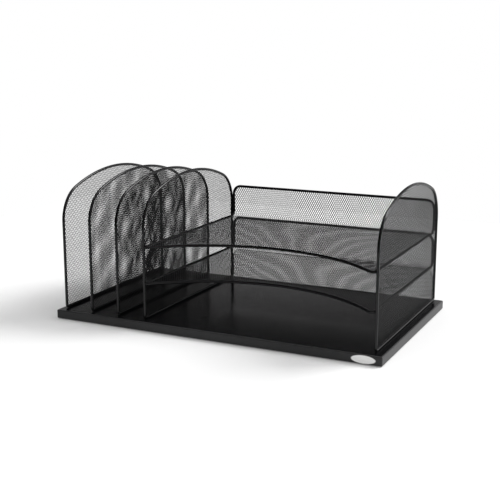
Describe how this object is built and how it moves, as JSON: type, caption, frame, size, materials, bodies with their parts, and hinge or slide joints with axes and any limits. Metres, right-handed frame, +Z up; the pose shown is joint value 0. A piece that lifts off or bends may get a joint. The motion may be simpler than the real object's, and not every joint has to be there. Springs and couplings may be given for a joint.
{
  "type": "desk organizer",
  "caption": "Wire and mesh desk organizer: arched upright sections at the left, two letter trays with curved front cuts at the right, on a flat black board.",
  "frame": {"origin": "on the desk, under the middle of the base", "axes": "+X to the user's right along the base, +Y to the rear, +Z up; the user faces +Y"},
  "size_m": [0.4952, 0.2925, 0.2095],
  "materials": {
    "black_wire": "satin",
    "black_mesh": "satin",
    "base_laminate": "semi-gloss",
    "edge_band": "satin",
    "foot_rubber": "matte",
    "plated_steel": "zinc plated",
    "badge_white": "gloss"
  },
  "bodies": {
    "root": {"base_board": "base_laminate", "edging_front": "edge_band", "edging_rear": "edge_band", "edging_left": "edge_band", "edging_right": "edge_band", "foot_front_left": "foot_rubber", "foot_front_right": "foot_rubber", "foot_rear_left": "foot_rubber", "foot_rear_right": "foot_rubber", "arch_frame_1": "black_wire", "arch_mesh_1": "black_mesh", "arch_frame_2": "black_wire", "arch_mesh_2": "black_mesh", "arch_frame_3": "black_wire", "arch_mesh_3": "black_mesh", "arch_frame_4": "black_wire", "arch_mesh_4": "black_mesh", "arch_frame_5": "black_wire", "arch_mesh_5": "black_mesh", "lower_tray_frame": "black_wire", "lower_tray_floor_mesh": "black_mesh", "lower_tray_rear_mesh": "black_mesh", "upper_tray_frame": "black_wire", "upper_tray_floor_mesh": "black_mesh", "upper_tray_rear_mesh": "black_mesh", "bottom_rear_mesh": "black_mesh", "stud_washers": "plated_steel", "stud_nuts": "plated_steel", "oval_badge": "badge_white"}
  },
  "joints": []
}
